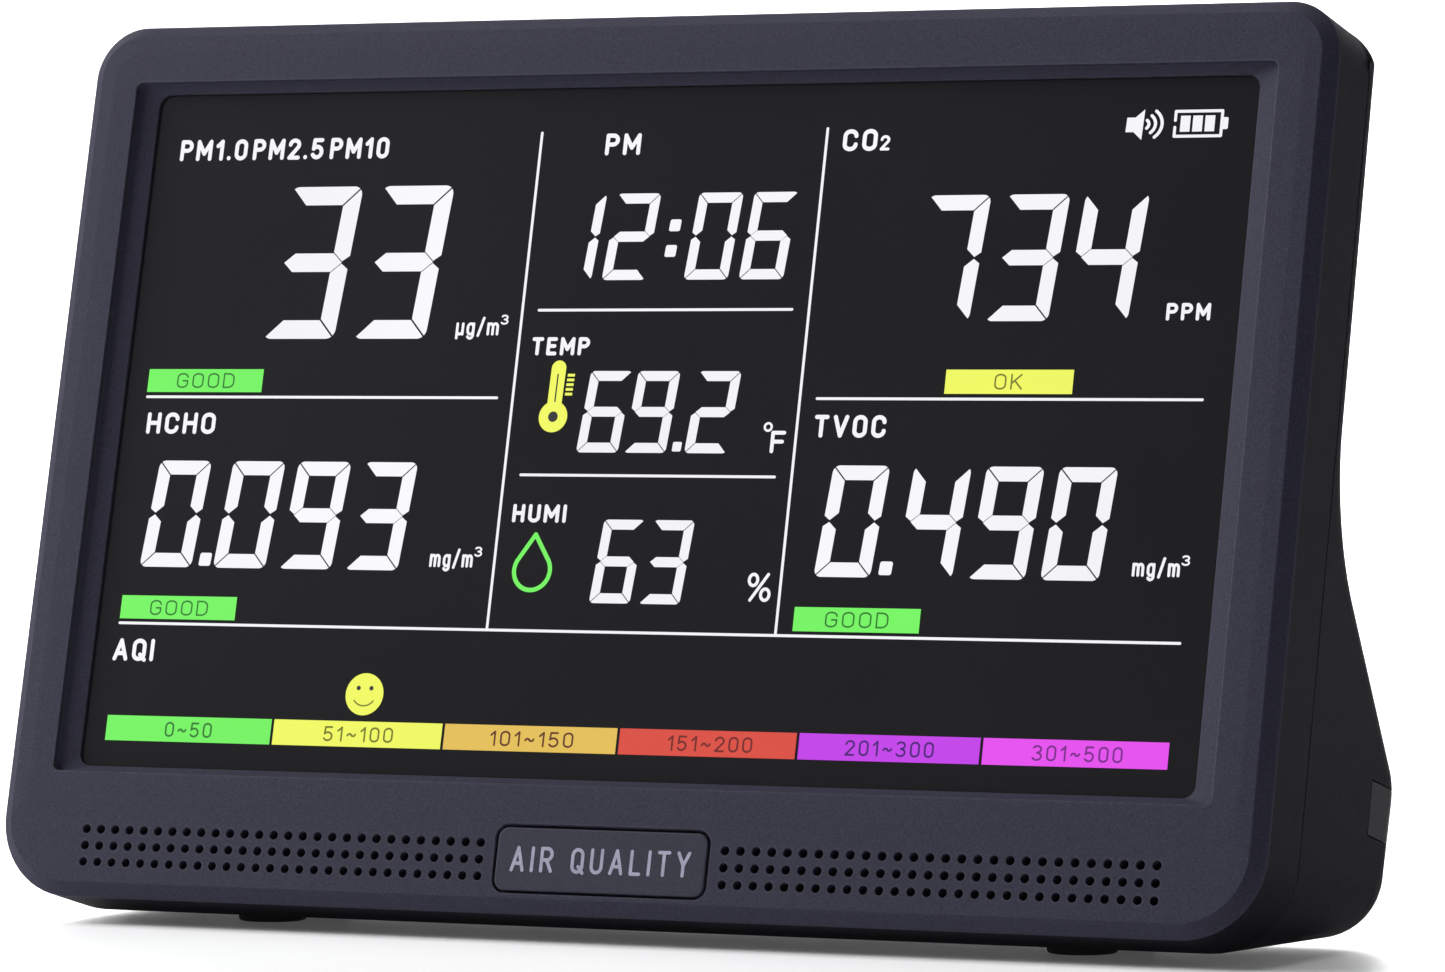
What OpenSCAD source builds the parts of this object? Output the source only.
// Desktop air quality monitor with a large segment display.
// Case coordinates: x to the right, y into the case, z up the sloping face.
// Their origin is the middle of the display's lower edge, on the face.
// Foot coordinates share that origin but stand upright, z straight up.

/* [Case] */
// Overall width of the case
case_w = 200; // [196:1:210]
// How far the face leans back, in degrees
lean = 13.5; // [11:0.5:15]
// Depth of the slim upper part
slab_d = 19.5; // [19:0.5:22]
// Depth of the foot, measured square to the face
foot_d = 50.5; // [49:0.5:56]
// Depth of the front shell, up to the seam
seam_d = 13.5; // [13:0.5:14]
// Thickness of the moulded walls
wall = 2.4; // [2:0.2:2.6]
// Radius of the two upper corners of the face
corner_top = 8; // [7:0.5:10]
// Radius of the two lower corners of the face
corner_low = 12; // [10:0.5:13]

/* [Display] */
// Visible width of the display
lcd_w = 177; // [160:1:178]
// Visible height of the display
lcd_h = 102; // [90:1:102]
// Depth of the display's surface behind the face
lcd_recess = 2.3; // [2:0.1:2.6]

/* [Perforations] */
// Distance from hole to hole
hole_pitch = 2.42; // [2.2:0.02:2.5]
// Diameter of one hole
hole_d = 1.3; // [1:0.1:1.5]
// Number of holes in a row
hole_columns = 28; // [20:1:28]

/* [Keys] */
// Width of a key on the rear strip
key_w = 8; // [6:0.5:9]
// How far a key travels
key_travel = 0.4; // [0.3:0.05:0.4]

/* [Feet] */
// Diameter of a rubber foot
pad_d = 10; // [8:1:12]
// Height of a rubber foot below the case
pad_h = 1.4; // [1:0.1:2]

/* [Hidden] */
$fn = 48;
eps = 0.01;

// Face outline, in case coordinates
half_w = case_w / 2;
border_low = 19.5;
border_top = 10.5;
face_low = -border_low;
face_top = lcd_h + border_top;
chamfer = 2;
chamfer_d = 1.8;

// Window and bezel lip
window_side = 3.2;
window_low = 1.1;
window_top = 1.4;
window_wall = 0.9;
lip_edge = 0.4;

// Side profile of the rear shell
sweep_top = 43;
sweep_r = 30;
heel_r = 9;
toe_r = 9;
edge_r = 5.5;
arc_steps = 8;

// Heights in foot coordinates
under_z = -seam_d * sin(lean) + face_low * cos(lean);
floor_z = under_z + wall;
base_z = pad_h - under_z;
front_y = (face_low + chamfer) * sin(lean);
back_y = max([for (p = rear_profile(0)) p[0] * cos(lean) + p[1] * sin(lean)]);
face_y = -(front_y + back_y) / 2;

// Perforations and nameplate
rows_z = [-9.66, -12.08, -14.5];
hole_inner_x = 19.36;
plate_w = 33.2;
plate_low = -16.4;
plate_high = -7.3;
plate_r = 1.6;
plate_t = 1.2;
plate_gap = 0.35;
peg_r = 1.2;

// Dust gauze behind the perforations
gauze_x = 52;
gauze_w = 70;
gauze_h = 8;
gauze_t = 0.4;

// Slots at the back and in the floor
slot_w = 2;
vent_count = 10;
vent_x = 22;
vent_z = 74;
vent_l = 16;
vent_pitch = 4.6;
floor_slot_count = 8;
floor_slot_x = 2;
floor_slot_y = 28;
floor_slot_l = 14;
floor_slot_pitch = 8;

// Rear strip
strip_low = 1.8;
strip_high = 9.4;
strip_start = 38;
strip_t = 1.5;
pocket_t = 1.6;
strip_gap = 0.25;
strip_mid = (strip_low + strip_high) / 2;
key_h = 3.6;
key_proud = 0.4;
key_gap = 0.15;
key_flange = 1.2;
key_flange_t = 0.8;
key_x = [-66, -50, -34, -18, -2];
usb_x = 34;
usb_w = 9;
usb_h = 3.3;
light_x = 48;
light_r = 1;
usb_wall = 0.35;
tongue_w = 6.4;
tongue_h = 0.7;
skin_in = foot_d - wall;

// Display stack, by depth
glass_t = 2.2;
guide_t = 3;
glass_w = lcd_w + 4;
glass_low = -2.2;
glass_top = lcd_h + 2.2;
tray_rim = 1.4;
tray_t = 6.6;
tray_back = lcd_recess + tray_t + 0.05;
led_side = 6;
led_pitch = 13;
led_w = 3;
flex_t = 0.3;
flex_w = 64;

// Main board
board_t = 1.6;
board_front = tray_back + 1.8;
board_back = board_front + board_t;
board_w = 140;
board_low = 20;
board_top = 92;
board_hole_in = 5;
board_holes_z = [board_low + board_hole_in, board_top - board_hole_in];
board_hole_x = board_w / 2 - board_hole_in;
spacer_r = 3;

// Chips as [x, z, width, height] and connectors as [x, width]
chips = [[-20, 60, 12, 12], [18, 62, 16, 10], [40, 40, 6, 5], [-46, 44, 6, 5], [52, 74, 8, 6]];
chip_t = 1.5;
connectors = [[-57, 10], [-40, 8], [30, 18], [49, 10]];
connector_t = 3.4;
buzzer_z = 82;
buzzer_r = 4.8;
buzzer_h = 3.6;

// Key board
key_board_back = skin_in - 4.9;
key_board_t = 1.2;
key_board_front = key_board_back - key_board_t;
key_board_x = [-76, 58];
key_board_half = 5;
key_flex_x = 30;
key_flex_w = 14;
switch_t = 2.8;
switch_half = 3;
stem_r = 1.6;
stem_top = skin_in - 1 - key_travel - 0.1;

// Screws and bosses
boss_r = 2.4;
boss_x = half_w - wall - boss_r - 0.3;
boss_z = [62, lcd_h + 1];
pilot_r = 1.15;
clear_r = 1.6;
head_r = 2.7;
head_t = 1.6;
head_sunk = 0.6;
low_seat = 1.2;
case_screw_l = 11;
low_screw_l = 4;
cross_w = 3.4;
cross_slot = 0.7;
low_screw = [82, 18];
tongue_half = 5.5;
tongue_start = 2.5;
tongue_t = 4;

// Particle sensor, in foot coordinates
pm_size = [48, 30, 11.6];
pm_at = [-75, 7.8, floor_z + 0.4];
pm_wall = 1.2;
fan_r = 9;
fan_at = [13, 15];
fan_pin_r = 1;
fan_clear = 0.05;
fan_hub_r = 4.4;
fan_blades = 7;
fan_height = pm_size[2] - 2 * pm_wall - 1.8;
inlet_hub_r = 3.4;
inlet_rib = 1.2;
pm_vents = 6;
laser_at = [29, 22, 5.6];
laser_r = 3;
laser_l = 9;
pm_board_at = [25, 3];
pm_board_size = [20, 14, 1.2];

// Sensor board, in foot coordinates
sens_size = [86, 30, 1.6];
sens_at = [-12, 10.5, floor_z + 3];
sens_hole_in = 4;
post_r = 2.4;
co2_at = [9, 5];
co2_size = [33, 20, 8.5];
hcho_at = [72, 16];
hcho_r = 8;
tvoc_at = [54, 20];
tvoc_r = 4.6;
humid_at = [54, 4];
humid_size = [8, 6, 2.4];

// Battery, in foot coordinates
cell_r = 9.2;
cell_l = 65;
cell_at = [-50, 30, 6];
holder_t = 1.4;
holder_end = 1.8;
holder_screw_x = 30;
holder_post_r = 2.6;

// Wire routes as points [y, z] in foot coordinates
pm_route = [[7.2, -13], [6, -12.4], [5.6, -10.8], [6, -8], [8.2, -6.4], [10.6, -4], [12.6, 2],
  [15, 8], [18.2, 13], [19, 15.5], [19.2, 17.7]];
sensor_route = [[13, -14.4], [12.4, -12.5], [12, -9], [12, -4], [13, 2], [15.5, 8], [18.2, 13],
  [19, 15.5], [19.2, 17.7]];
battery_route = [[19.3, 7.7], [18.2, 9.5], [18.2, 12], [19, 14.5], [19.2, 17.6]];
lead_pitch = 1.6;
lead_r = 0.6;
battery_lead_pitch = 2.5;
battery_lead_r = 0.7;
wire_sides = 8;

// Rubber feet, in foot coordinates
pad_x = 65;
pad_y = [18, 31.5];
pad_sunk = 0.6;

slate = [0.2, 0.21, 0.27];
charcoal = [0.13, 0.13, 0.15];

// Points of a corner rounded with radius r
function unit(v) = v / norm(v);
function turn(a, b, c) = cross(b - a, c - b) > 0 ? 1 : -1;
function corner(a, b, c, r) =
  let (
    u = unit(a - b),
    w = unit(c - b),
    half = acos(u * w) / 2,
    centre = b + unit(u + w) * r / sin(half),
    first = b + u * r / tan(half),
    s = turn(a, b, c),
    start = atan2(first[1] - centre[1], first[0] - centre[0]),
    sweep = 180 - 2 * half
  )
  [for (i = [0:arc_steps]) centre + r * [cos(start + s * sweep * i / arc_steps),
    sin(start + s * sweep * i / arc_steps)]];

// Underside line of the foot, as a height in case coordinates
function under(y, inset) = (under_z + inset + y * sin(lean)) / cos(lean);

// Side profile of the rear shell in (y, z), drawn inset from the outside
function rear_profile(inset) =
  let (
    slab = slab_d - inset,
    foot = foot_d - inset,
    slope = slab_d + sweep_top - inset * sqrt(2),
    top = face_top - inset,
    a = [seam_d - 2, under(seam_d - 2, inset)],
    b = [foot, under(foot, inset)],
    c = [foot, slope - foot],
    d = [slab, slope - slab],
    e = [slab, top],
    f = [seam_d - 2, top]
  )
  concat([a], corner(a, b, c, toe_r - inset), corner(b, c, d, heel_r - inset),
    corner(c, d, e, sweep_r + inset), corner(d, e, f, edge_r - inset), [f]);

// Placing
module in_case() {
  translate([0, face_y, base_z]) rotate([-lean, 0, 0]) children();
}
module in_foot() {
  translate([0, face_y, base_z]) children();
}
module along_depth(from, to) {
  translate([0, to, 0]) rotate([90, 0, 0]) linear_extrude(to - from) children();
}
module along_width(w) {
  translate([-w / 2, 0, 0]) rotate([90, 0, 90]) linear_extrude(w) children();
}
module bore_depth(x, z, r, from, to) {
  translate([x, to, z]) rotate([90, 0, 0]) cylinder(r = r, h = to - from);
}
module block(x, y, z) {
  translate([x[0], y[0], z[0]]) cube([x[1] - x[0], y[1] - y[0], z[1] - z[0]]);
}

// Rounded rectangle with its own radius for the lower and the upper corners
module rounded(half, low, top, r_low, r_top) {
  mid = (low + top) / 2;
  translate([-half, low + r_low]) square([2 * half, top - r_top - low - r_low]);
  translate([r_low - half, low]) square([2 * (half - r_low), mid - low]);
  translate([r_top - half, mid]) square([2 * (half - r_top), top - mid]);
  for (s = [-1, 1]) {
    translate([s * (half - r_low), low + r_low]) circle(r_low);
    translate([s * (half - r_top), top - r_top]) circle(r_top);
  }
}
module pill(w, h) {
  square([w - h, h], center = true);
  for (s = [-1, 1]) translate([s * (w - h) / 2, 0]) circle(h / 2);
}
module outline(inset) {
  rounded(half_w - inset, face_low + inset, face_top - inset, corner_low - inset, corner_top - inset);
}

// Chamfered plate that makes the face: flat prisms between four cone stumps
module chamfered_face() {
  mid = (face_low + face_top) / 2;
  low_half = half_w - corner_low;
  top_half = half_w - corner_top;
  along_width(2 * low_half)
    polygon([[0, face_low + chamfer], [0, mid], [chamfer_d, mid], [chamfer_d, face_low]]);
  along_width(2 * top_half)
    polygon([[0, mid], [0, face_top - chamfer], [chamfer_d, face_top], [chamfer_d, mid]]);
  translate([0, 0, face_low + corner_low])
    linear_extrude(face_top - corner_top - face_low - corner_low)
      polygon([[chamfer - half_w, 0], [half_w - chamfer, 0], [half_w, chamfer_d], [-half_w, chamfer_d]]);
  for (s = [-1, 1]) {
    translate([s * low_half, chamfer_d, face_low + corner_low]) rotate([90, 0, 0])
      cylinder(r1 = corner_low, r2 = corner_low - chamfer, h = chamfer_d);
    translate([s * top_half, chamfer_d, face_top - corner_top]) rotate([90, 0, 0])
      cylinder(r1 = corner_top, r2 = corner_top - chamfer, h = chamfer_d);
  }
}

// Window: a straight wall, then a bevel down to the edge of the display
module window_cut() {
  open = lcd_w / 2 + window_side;
  lip = lcd_recess - lip_edge;
  block([-open, open], [-1, window_wall], [-window_low, lcd_h + window_top]);
  block([-lcd_w / 2, lcd_w / 2], [-1, lcd_recess + 1], [0, lcd_h]);
  intersection() {
    along_width(2 * open)
      polygon([[0, -window_low], [window_wall, -window_low], [lip, 0], [lip, lcd_h],
        [window_wall, lcd_h + window_top], [0, lcd_h + window_top]]);
    translate([0, 0, -2]) linear_extrude(lcd_h + 4)
      polygon([[-open, 0], [open, 0], [open, window_wall], [lcd_w / 2, lip],
        [-lcd_w / 2, lip], [-open, window_wall]]);
  }
}

module perforations() {
  for (s = [-1, 1], i = [0:hole_columns - 1], z = rows_z)
    bore_depth(s * (hole_inner_x + i * hole_pitch), z, hole_d / 2, -1, lcd_recess + 1);
}

module front_case() color(slate) in_case() {
  difference() {
    union() {
      chamfered_face();
      along_depth(chamfer_d, seam_d) outline(0);
    }
    difference() {
      along_depth(lcd_recess, seam_d + 1) outline(wall);
      for (s = [-1, 1], z = boss_z) bore_depth(s * boss_x, z, boss_r, lcd_recess - 1, seam_d + 2);
    }
    for (s = [-1, 1], z = boss_z) bore_depth(s * boss_x, z, pilot_r, lcd_recess + 1.5, seam_d + 1);
    window_cut();
    perforations();
    translate([0, 0, (plate_low + plate_high) / 2])
      along_depth(-1, plate_t)
        rounded(plate_w / 2 + plate_gap, plate_low - plate_gap - (plate_low + plate_high) / 2,
          plate_high + plate_gap - (plate_low + plate_high) / 2, plate_r, plate_r);
    for (s = [-1, 1])
      bore_depth(s * plate_w / 3, (plate_low + plate_high) / 2, peg_r + 0.1, 0, lcd_recess + 1);
  }
  front_tongues();
}

// Two tongues on the front shell that reach over the floor of the rear shell
module front_tongues() {
  rotate([lean, 0, 0]) difference() {
    for (s = [-1, 1])
      block([s * low_screw[0] - tongue_half, s * low_screw[0] + tongue_half],
        [tongue_start, low_screw[1] + 5], [floor_z + 0.1, floor_z + 0.1 + tongue_t]);
    for (s = [-1, 1])
      translate([s * low_screw[0], low_screw[1], floor_z - 1]) cylinder(r = pilot_r, h = tongue_t);
  }
}

// Solid outer form of the rear shell, drawn inset from the outside
module rear_form(inset) {
  start = inset > 0 ? seam_d - 1 : seam_d;
  split = sweep_top - 2;
  intersection() {
    along_width(case_w - 2 * inset) polygon(rear_profile(inset));
    union() {
      intersection() {
        along_depth(start, slab_d - inset) outline(inset);
        block([-half_w, half_w], [0, slab_d], [split, face_top]);
        rear_edges(slab_d - inset, inset);
      }
      intersection() {
        block([-half_w, half_w], [start, foot_d], [face_low - 5, sweep_top + sweep_r * tan(22.5)]);
        rotate([lean, 0, 0]) along_depth(-10, back_y + 10)
          rounded(half_w - inset, under_z + inset, face_top, corner_low - inset, 1);
        rear_edges(foot_d - inset, inset);
      }
    }
  }
}
// Plan shape that rounds the two upright edges at a back wall
module rear_edges(depth, inset) {
  half = half_w - inset;
  r = edge_r - inset;
  translate([0, 0, face_low - 5]) linear_extrude(face_top - face_low + 10) {
    translate([-half, 0]) square([2 * half, depth - r]);
    translate([r - half, 0]) square([2 * (half - r), depth]);
    for (s = [-1, 1]) translate([s * (half - r), depth - r]) circle(r);
  }
}

module strip_band(grow, depth) {
  difference() {
    intersection() {
      rear_form(0);
      block([-half_w, half_w], [strip_start - grow, foot_d + 1], [strip_low - grow, strip_high + grow]);
    }
    rear_form(depth);
  }
}

module vent_slots() {
  for (s = [-1, 1], i = [0:vent_count - 1])
    translate([s * (vent_x + i * vent_pitch), 0, vent_z]) along_depth(slab_d - wall - 1, slab_d + 1)
      rotate([0, 0, 90]) pill(vent_l, slot_w);
}
module floor_slots() {
  for (i = [0:floor_slot_count - 1])
    translate([floor_slot_x + i * floor_slot_pitch, floor_slot_y, under_z - 1]) linear_extrude(wall + 2)
      rotate([0, 0, 90]) pill(floor_slot_l, slot_w);
}
module strip_holes(grow) {
  for (x = key_x)
    translate([x, 0, strip_mid]) along_depth(skin_in - 1, foot_d + 1)
      pill(key_w + 2 * grow, key_h + 2 * grow);
  translate([usb_x, 0, strip_mid]) along_depth(skin_in - 1, foot_d + 1)
    pill(usb_w + 2 * grow, usb_h + 2 * grow);
  bore_depth(light_x, strip_mid, light_r + grow / 2, skin_in - 1, foot_d + 1);
}

module rear_case() color(charcoal) {
  in_case() {
    difference() {
      rear_form(0);
      difference() {
        rear_form(wall);
        for (s = [-1, 1], z = boss_z) bore_depth(s * boss_x, z, boss_r + 0.6, seam_d, slab_d);
      }
      for (s = [-1, 1], z = boss_z) bore_depth(s * boss_x, z, clear_r, seam_d - 2, slab_d + 1);
      for (s = [-1, 1], z = boss_z)
        bore_depth(s * boss_x, z, head_r + 0.3, slab_d - head_t - head_sunk, slab_d + 1);
      strip_band(strip_gap, pocket_t);
      strip_holes(key_gap);
      vent_slots();
      rotate([lean, 0, 0]) {
        floor_slots();
        for (s = [-1, 1]) {
          translate([s * low_screw[0], low_screw[1], under_z - 1]) cylinder(r = clear_r, h = wall + 2);
          translate([s * low_screw[0], low_screw[1], under_z - 1])
            cylinder(r = head_r + 0.3, h = 1 + low_seat);
          for (y = pad_y)
            translate([s * pad_x, y, under_z - 1]) cylinder(d = pad_d + 0.2, h = 1 + pad_sunk);
        }
      }
    }
  }
  in_foot() rear_posts();
}
// Posts on the floor of the rear shell for the sensor board and the battery holder
module rear_posts() {
  for (x = [sens_hole_in, sens_size[0] - sens_hole_in], y = [sens_hole_in, sens_size[1] - sens_hole_in])
    post([sens_at[0] + x, sens_at[1] + y], sens_at[2], post_r, pilot_r);
  for (s = [-1, 1])
    post([cell_at[0] + s * holder_screw_x, cell_at[1]], cell_at[2] - cell_r - holder_t,
      holder_post_r, pilot_r);
}
module post(at, top, r, hole) {
  translate([at[0], at[1], floor_z - 0.5]) difference() {
    cylinder(r = r, h = top - floor_z + 0.5);
    translate([0, 0, 1.5]) cylinder(r = hole, h = top - floor_z);
  }
}

module rear_strip() color(charcoal) in_case() difference() {
  strip_band(0, strip_t);
  strip_holes(key_gap);
}

module nameplate() color(slate) in_case() {
  mid = (plate_low + plate_high) / 2;
  translate([0, 0, mid]) along_depth(0, plate_t)
    rounded(plate_w / 2, plate_low - mid, plate_high - mid, plate_r, plate_r);
  for (s = [-1, 1]) bore_depth(s * plate_w / 3, mid, peg_r, plate_t - eps, lcd_recess + 0.6);
}

module dust_gauze() color("dimgray") in_case()
  for (s = [-1, 1])
    translate([s * gauze_x, 0, rows_z[1]]) along_depth(lcd_recess + 0.1, lcd_recess + 0.1 + gauze_t)
      square([gauze_w, gauze_h], center = true);

module lcd_glass() color([0.12, 0.12, 0.13]) in_case()
  block([-glass_w / 2, glass_w / 2], [lcd_recess, lcd_recess + glass_t], [glass_low, glass_top]);

module light_guide() color("ivory") in_case()
  block([-glass_w / 2 + 1, glass_w / 2 - 1], [lcd_recess + glass_t, lcd_recess + glass_t + guide_t],
    [1.5, glass_top - 1]);

module backlight_strip() color("white") in_case() {
  block([-glass_w / 2 + 2, glass_w / 2 - 2], [lcd_recess + glass_t + 0.2, lcd_recess + glass_t + guide_t],
    [glass_low + 0.7, glass_low + 1.5]);
  for (i = [-led_side:led_side])
    block([i * led_pitch - led_w / 2, i * led_pitch + led_w / 2],
      [lcd_recess + glass_t + 0.8, lcd_recess + glass_t + 2],
      [glass_low + 1.5 - eps, glass_low + 3.2]);
}

module lcd_tray() color("whitesmoke") in_case() difference() {
  union() {
    block([-glass_w / 2 - tray_rim, glass_w / 2 + tray_rim], [lcd_recess + 0.05, tray_back],
      [glass_low - tray_rim, glass_top + tray_rim]);
    for (s = [-1, 1], z = board_holes_z)
      bore_depth(s * board_hole_x, z, spacer_r, tray_back - 1, board_front);
  }
  block([-glass_w / 2 - 0.1, glass_w / 2 + 0.1], [lcd_recess - 1, lcd_recess + glass_t],
    [glass_low - 0.1, glass_top + 0.1]);
  block([-glass_w / 2 + 0.8, glass_w / 2 - 0.8], [lcd_recess, lcd_recess + glass_t + guide_t + 0.1],
    [glass_low + 0.6, glass_top - 0.8]);
  for (s = [-1, 1], z = board_holes_z)
    bore_depth(s * board_hole_x, z, 0.9, tray_back - 0.8, board_front + 1);
}

// Flat flexible cable between the display and the main board
module lcd_ribbon() color("peru") in_case() {
  low = glass_low - tray_rim - 0.4;
  back = board_back + 0.9;
  along_width(flex_w)
    polygon([[lcd_recess + 1, low], [back, low], [back, board_low + 1], [back - flex_t, board_low + 1],
      [back - flex_t, low + flex_t], [lcd_recess + 1, low + flex_t]]);
}

module main_board() color("darkgreen") in_case() difference() {
  block([-board_w / 2, board_w / 2], [board_front, board_back], [board_low, board_top]);
  for (s = [-1, 1], z = board_holes_z)
    bore_depth(s * board_hole_x, z, 1.3, board_front - 1, board_back + 1);
}

module board_chips() color([0.1, 0.1, 0.1]) in_case()
  for (c = chips)
    block([c[0] - c[2] / 2, c[0] + c[2] / 2], [board_back, board_back + chip_t],
      [c[1] - c[3] / 2, c[1] + c[3] / 2]);

module board_connectors() color("ivory") in_case()
  for (c = connectors)
    block([c[0] - c[1] / 2, c[0] + c[1] / 2], [board_back, board_back + connector_t],
      [board_low + 2, board_low + 7]);

module buzzer() color([0.12, 0.12, 0.12]) in_case() difference() {
  bore_depth(0, buzzer_z, buzzer_r, board_back, board_back + buzzer_h);
  bore_depth(0, buzzer_z, 1, board_back + buzzer_h - 1, board_back + buzzer_h + 1);
}

module key_board() color("darkgreen") in_case()
  block(key_board_x, [key_board_front, key_board_back],
    [strip_mid - key_board_half, strip_mid + key_board_half]);

module key_ribbon() color("peru") in_case() {
  low = strip_mid + 4;
  high = board_low + 5;
  start = board_back + 3.5;
  bend = board_back + 5;
  translate([key_flex_x, 0, 0]) along_width(key_flex_w)
    polygon([[start, high], [bend, high], [key_board_front, low + flex_t], [key_board_front, low],
      [bend - flex_t, high - flex_t], [start, high - flex_t]]);
}

module key_switches() color("silver") in_case()
  for (x = key_x) {
    block([x - switch_half, x + switch_half], [key_board_back, key_board_back + switch_t],
      [strip_mid - switch_half, strip_mid + switch_half]);
    bore_depth(x, strip_mid, stem_r, key_board_back + switch_t - eps,
      stem_top);
  }

module usb_socket() color("silver") in_case() translate([usb_x, 0, strip_mid]) {
  difference() {
    along_depth(key_board_back, foot_d - 0.4) pill(usb_w, usb_h);
    along_depth(key_board_back + 1, foot_d + 1) pill(usb_w - 2 * usb_wall, usb_h - 2 * usb_wall);
  }
  along_depth(key_board_back + 0.9, foot_d - 1.4) square([tongue_w, tongue_h], center = true);
}

module charge_light() color("white") in_case()
  bore_depth(light_x, strip_mid, light_r, key_board_back + 0.1, foot_d - 0.1);

// A key: a pill cap through the strip, with a flange behind the wall
module key(i) {
  translate([key_x[i], 0, strip_mid]) {
    along_depth(skin_in - 1, foot_d + key_proud) pill(key_w, key_h);
    along_depth(skin_in - 0.05 - key_flange_t, skin_in - 0.05)
      pill(key_w + 2 * key_flange, key_h + 2 * key_flange);
  }
}
module power_key() color("firebrick") in_case() key(0);
module set_key() color("gray") in_case() key(1);
module up_key() color("gray") in_case() key(2);
module down_key() color("gray") in_case() key(3);
module alarm_key() color("gray") in_case() key(4);

// Particle sensor: an open tray with a fan pin, closed by a lid
module pm_place() {
  in_foot() translate(pm_at) children();
}
module pm_housing() color([0.25, 0.35, 0.6]) pm_place() {
  difference() {
    cube([pm_size[0], pm_size[1], pm_size[2] - pm_wall]);
    translate([pm_wall, pm_wall, pm_wall])
      cube([pm_size[0] - 2 * pm_wall, pm_size[1] - 2 * pm_wall, pm_size[2]]);
    translate([fan_at[0], fan_at[1], -1]) difference() {
      cylinder(r = fan_r - 1, h = pm_wall + 2);
      cylinder(r = inlet_hub_r, h = pm_wall + 3);
      for (a = [0, 60, 120]) rotate([0, 0, a]) translate([-fan_r, -inlet_rib / 2, 0])
        cube([2 * fan_r, inlet_rib, pm_wall + 3]);
    }
    for (i = [0:pm_vents - 1]) translate([26 + i * 2.8, -1, 3]) cube([1.6, 3, 5]);
  }
  translate([fan_at[0], fan_at[1], pm_wall - eps])
    cylinder(r = fan_pin_r, h = pm_size[2] - 2 * pm_wall - 0.6);
}
module pm_lid() color([0.75, 0.76, 0.78]) pm_place()
  translate([0, 0, pm_size[2] - pm_wall + 0.02]) cube([pm_size[0], pm_size[1], pm_wall]);

module pm_fan() color([0.08, 0.08, 0.08]) pm_place() translate([fan_at[0], fan_at[1], pm_wall + 0.4]) {
  difference() {
    union() {
      cylinder(r = fan_hub_r, h = fan_height);
      for (i = [0:fan_blades - 1]) rotate([0, 0, i * 360 / fan_blades])
        translate([fan_hub_r - 0.6, -0.5, 0.6]) rotate([0, 0, 14]) cube([4.4, 0.9, fan_height - 1.2]);
    }
    translate([0, 0, -1]) cylinder(r = fan_pin_r + fan_clear, h = fan_height + 2);
  }
}

module pm_laser() color("goldenrod") pm_place() translate(laser_at) rotate([0, 90, 0])
  cylinder(r = laser_r, h = laser_l);

module pm_board() color("darkgreen") pm_place()
  translate([pm_board_at[0], pm_board_at[1], pm_wall]) cube(pm_board_size);

// A wire is an eight-sided tube swept along points (y, z) at one x
function wire_ring(x, route, i, r) =
  let (
    back = unit(i == 0 ? route[1] - route[0] : route[i] - route[i - 1]),
    ahead = unit(i == len(route) - 1 ? route[i] - route[i - 1] : route[i + 1] - route[i]),
    along = unit(back + ahead),
    reach = 1 / (along * ahead)
  )
  [for (k = [0:wire_sides - 1])
    let (c = r * cos(k * 360 / wire_sides), q = r * reach * sin(k * 360 / wire_sides))
      [x + c, route[i][0] - q * along[1], route[i][1] + q * along[0]]];

module wire(x, route, r) {
  last = (len(route) - 1) * wire_sides;
  polyhedron(
    points = [for (i = [0:len(route) - 1]) each wire_ring(x, route, i, r)],
    faces = concat(
      [[for (k = [wire_sides - 1:-1:0]) k]],
      [[for (k = [0:wire_sides - 1]) last + k]],
      [for (i = [0:len(route) - 2], k = [0:wire_sides - 1])
        let (n = (k + 1) % wire_sides)
          [i * wire_sides + k, i * wire_sides + n, (i + 1) * wire_sides + n, (i + 1) * wire_sides + k]]
    )
  );
}
module pm_lead() color("firebrick") in_foot()
  for (i = [0:2])
    wire(i * lead_pitch - 42, pm_route, lead_r);
module sensor_lead() color("royalblue") in_foot()
  for (i = [0:2])
    wire(i * lead_pitch + 47, sensor_route, lead_r);
module battery_leads() color("crimson") in_foot()
  for (i = [0:1])
    wire(i * battery_lead_pitch - 59, battery_route, battery_lead_r);

module sensor_board() color("darkgreen") in_foot() translate(sens_at) difference() {
  cube(sens_size);
  for (x = [sens_hole_in, sens_size[0] - sens_hole_in], y = [sens_hole_in, sens_size[1] - sens_hole_in])
    translate([x, y, -1]) cylinder(r = 1.3, h = sens_size[2] + 2);
}
module on_sensor_board(at) {
  in_foot() translate([sens_at[0] + at[0], sens_at[1] + at[1], sens_at[2] + sens_size[2]]) children();
}
module co2_sensor() color("gold") on_sensor_board(co2_at) cube(co2_size);
module co2_membranes() color("white") on_sensor_board(co2_at)
  for (x = [8, 25]) translate([x, co2_size[1] / 2, co2_size[2]]) cylinder(r = 3.6, h = 0.5);
module hcho_cell() color("ivory") on_sensor_board(hcho_at) difference() {
  cylinder(r = hcho_r, h = 8);
  translate([0, 0, 7]) cylinder(r = 3, h = 2);
}
module tvoc_sensor() color("silver") on_sensor_board(tvoc_at) {
  cylinder(r = tvoc_r, h = 5);
  cylinder(r = tvoc_r + 0.6, h = 0.6);
}
module humidity_sensor() color([0.9, 0.9, 0.9]) on_sensor_board(humid_at) cube(humid_size);

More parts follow.
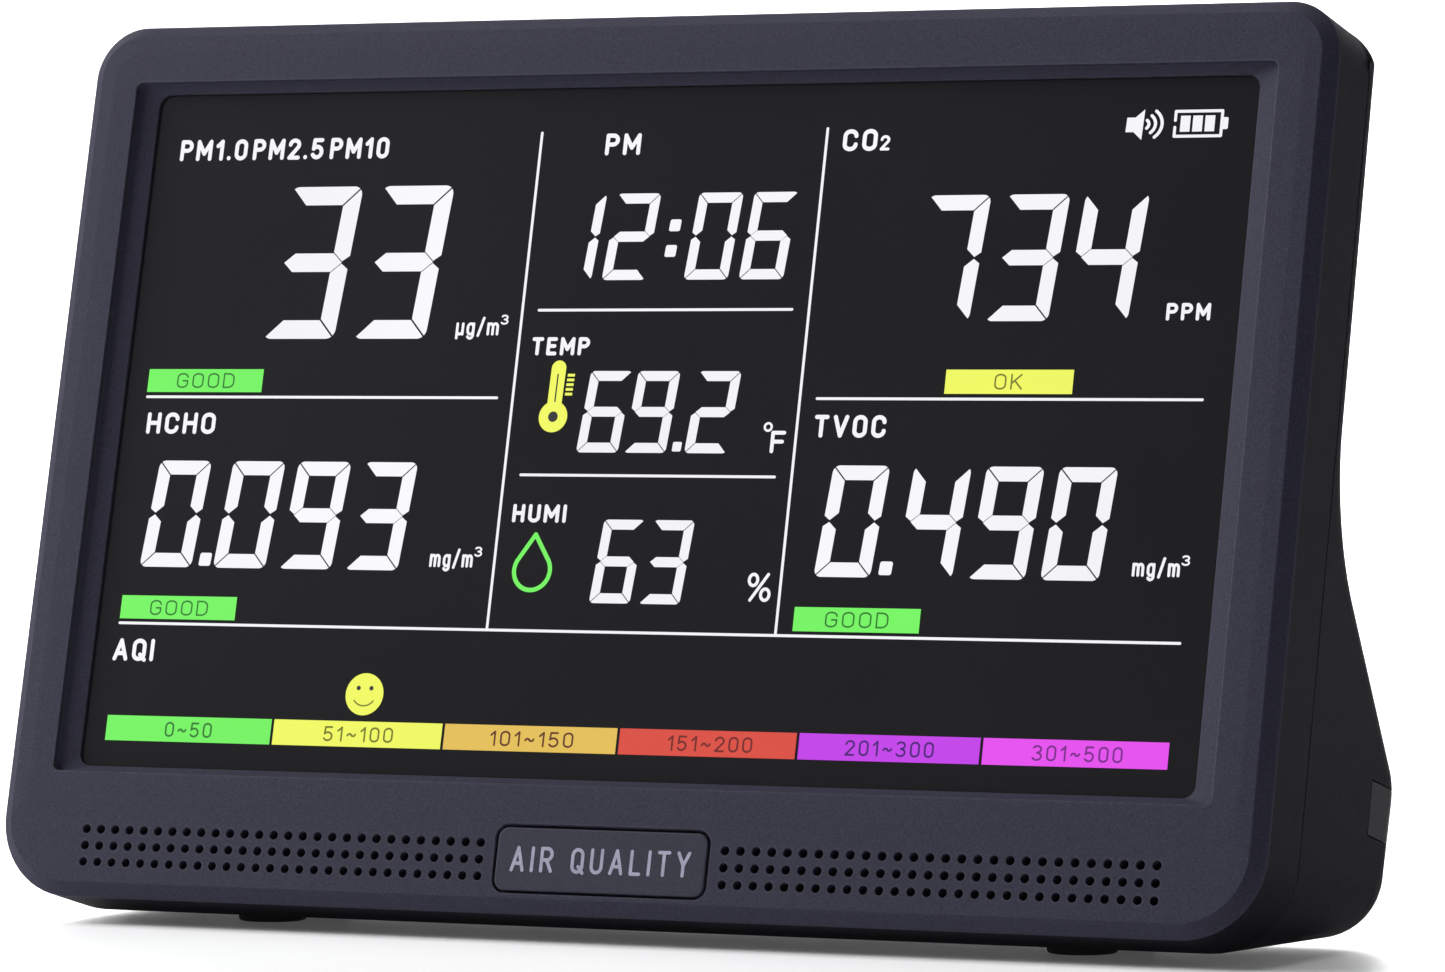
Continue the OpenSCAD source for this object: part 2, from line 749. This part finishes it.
module battery_cell() color([0.2, 0.45, 0.65]) in_foot()
  translate([cell_at[0] - cell_l / 2, cell_at[1], cell_at[2]]) rotate([0, 90, 0]) {
    cylinder(r = cell_r, h = cell_l - 1);
    cylinder(r = 3, h = cell_l);
  }
module battery_holder() color([0.15, 0.15, 0.15]) in_foot() translate(cell_at) {
  half = cell_l / 2 + 0.4;
  difference() {
    block([-half - holder_end, half + holder_end], [-cell_r - holder_t, cell_r + holder_t],
      [-cell_r - holder_t, 1]);
    translate([-half, 0, 0]) rotate([0, 90, 0]) cylinder(r = cell_r + 0.15, h = 2 * half);
    for (s = [-1, 1]) translate([s * holder_screw_x, 0, -cell_r - 4]) cylinder(r = 1.3, h = 8);
  }
}

// A screw with its head at the origin and its shank along +z
module screw(length, shank) {
  translate([0, 0, -head_t]) difference() {
    cylinder(r = head_r, h = head_t);
    for (a = [0, 90]) rotate([0, 0, a]) translate([-cross_w / 2, -cross_slot / 2, -0.2])
      cube([cross_w, cross_slot, 1.1]);
  }
  cylinder(r = shank, h = length);
}
module case_screws() color("silver") in_case()
  for (s = [-1, 1], z = boss_z)
    translate([s * boss_x, slab_d - head_t - head_sunk, z]) mirror([0, 1, 0]) rotate([-90, 0, 0])
      screw(case_screw_l, pilot_r - 0.05);
module underside_screws() color("silver") in_foot()
  for (s = [-1, 1])
    translate([s * low_screw[0], low_screw[1], under_z + low_seat]) screw(low_screw_l, pilot_r - 0.05);
module board_screws() color("silver") in_case()
  for (s = [-1, 1], z = board_holes_z)
    translate([s * board_hole_x, board_back, z]) mirror([0, 1, 0]) rotate([-90, 0, 0])
      scale(0.7) screw(low_screw_l, 1.2);

module rubber_feet() color([0.08, 0.08, 0.08]) in_foot()
  for (s = [-1, 1], y = pad_y)
    translate([s * pad_x, y, under_z - pad_h]) cylinder(d = pad_d, h = pad_h + pad_sunk);

front_case();
rear_case();
rear_strip();
nameplate();
dust_gauze();
lcd_glass();
light_guide();
backlight_strip();
lcd_tray();
lcd_ribbon();
main_board();
board_chips();
board_connectors();
buzzer();
key_board();
key_ribbon();
key_switches();
usb_socket();
charge_light();
power_key();
set_key();
up_key();
down_key();
alarm_key();
pm_housing();
pm_lid();
pm_fan();
pm_laser();
pm_board();
pm_lead();
sensor_board();
co2_sensor();
co2_membranes();
hcho_cell();
tvoc_sensor();
humidity_sensor();
sensor_lead();
battery_cell();
battery_holder();
battery_leads();
case_screws();
underside_screws();
board_screws();
rubber_feet();
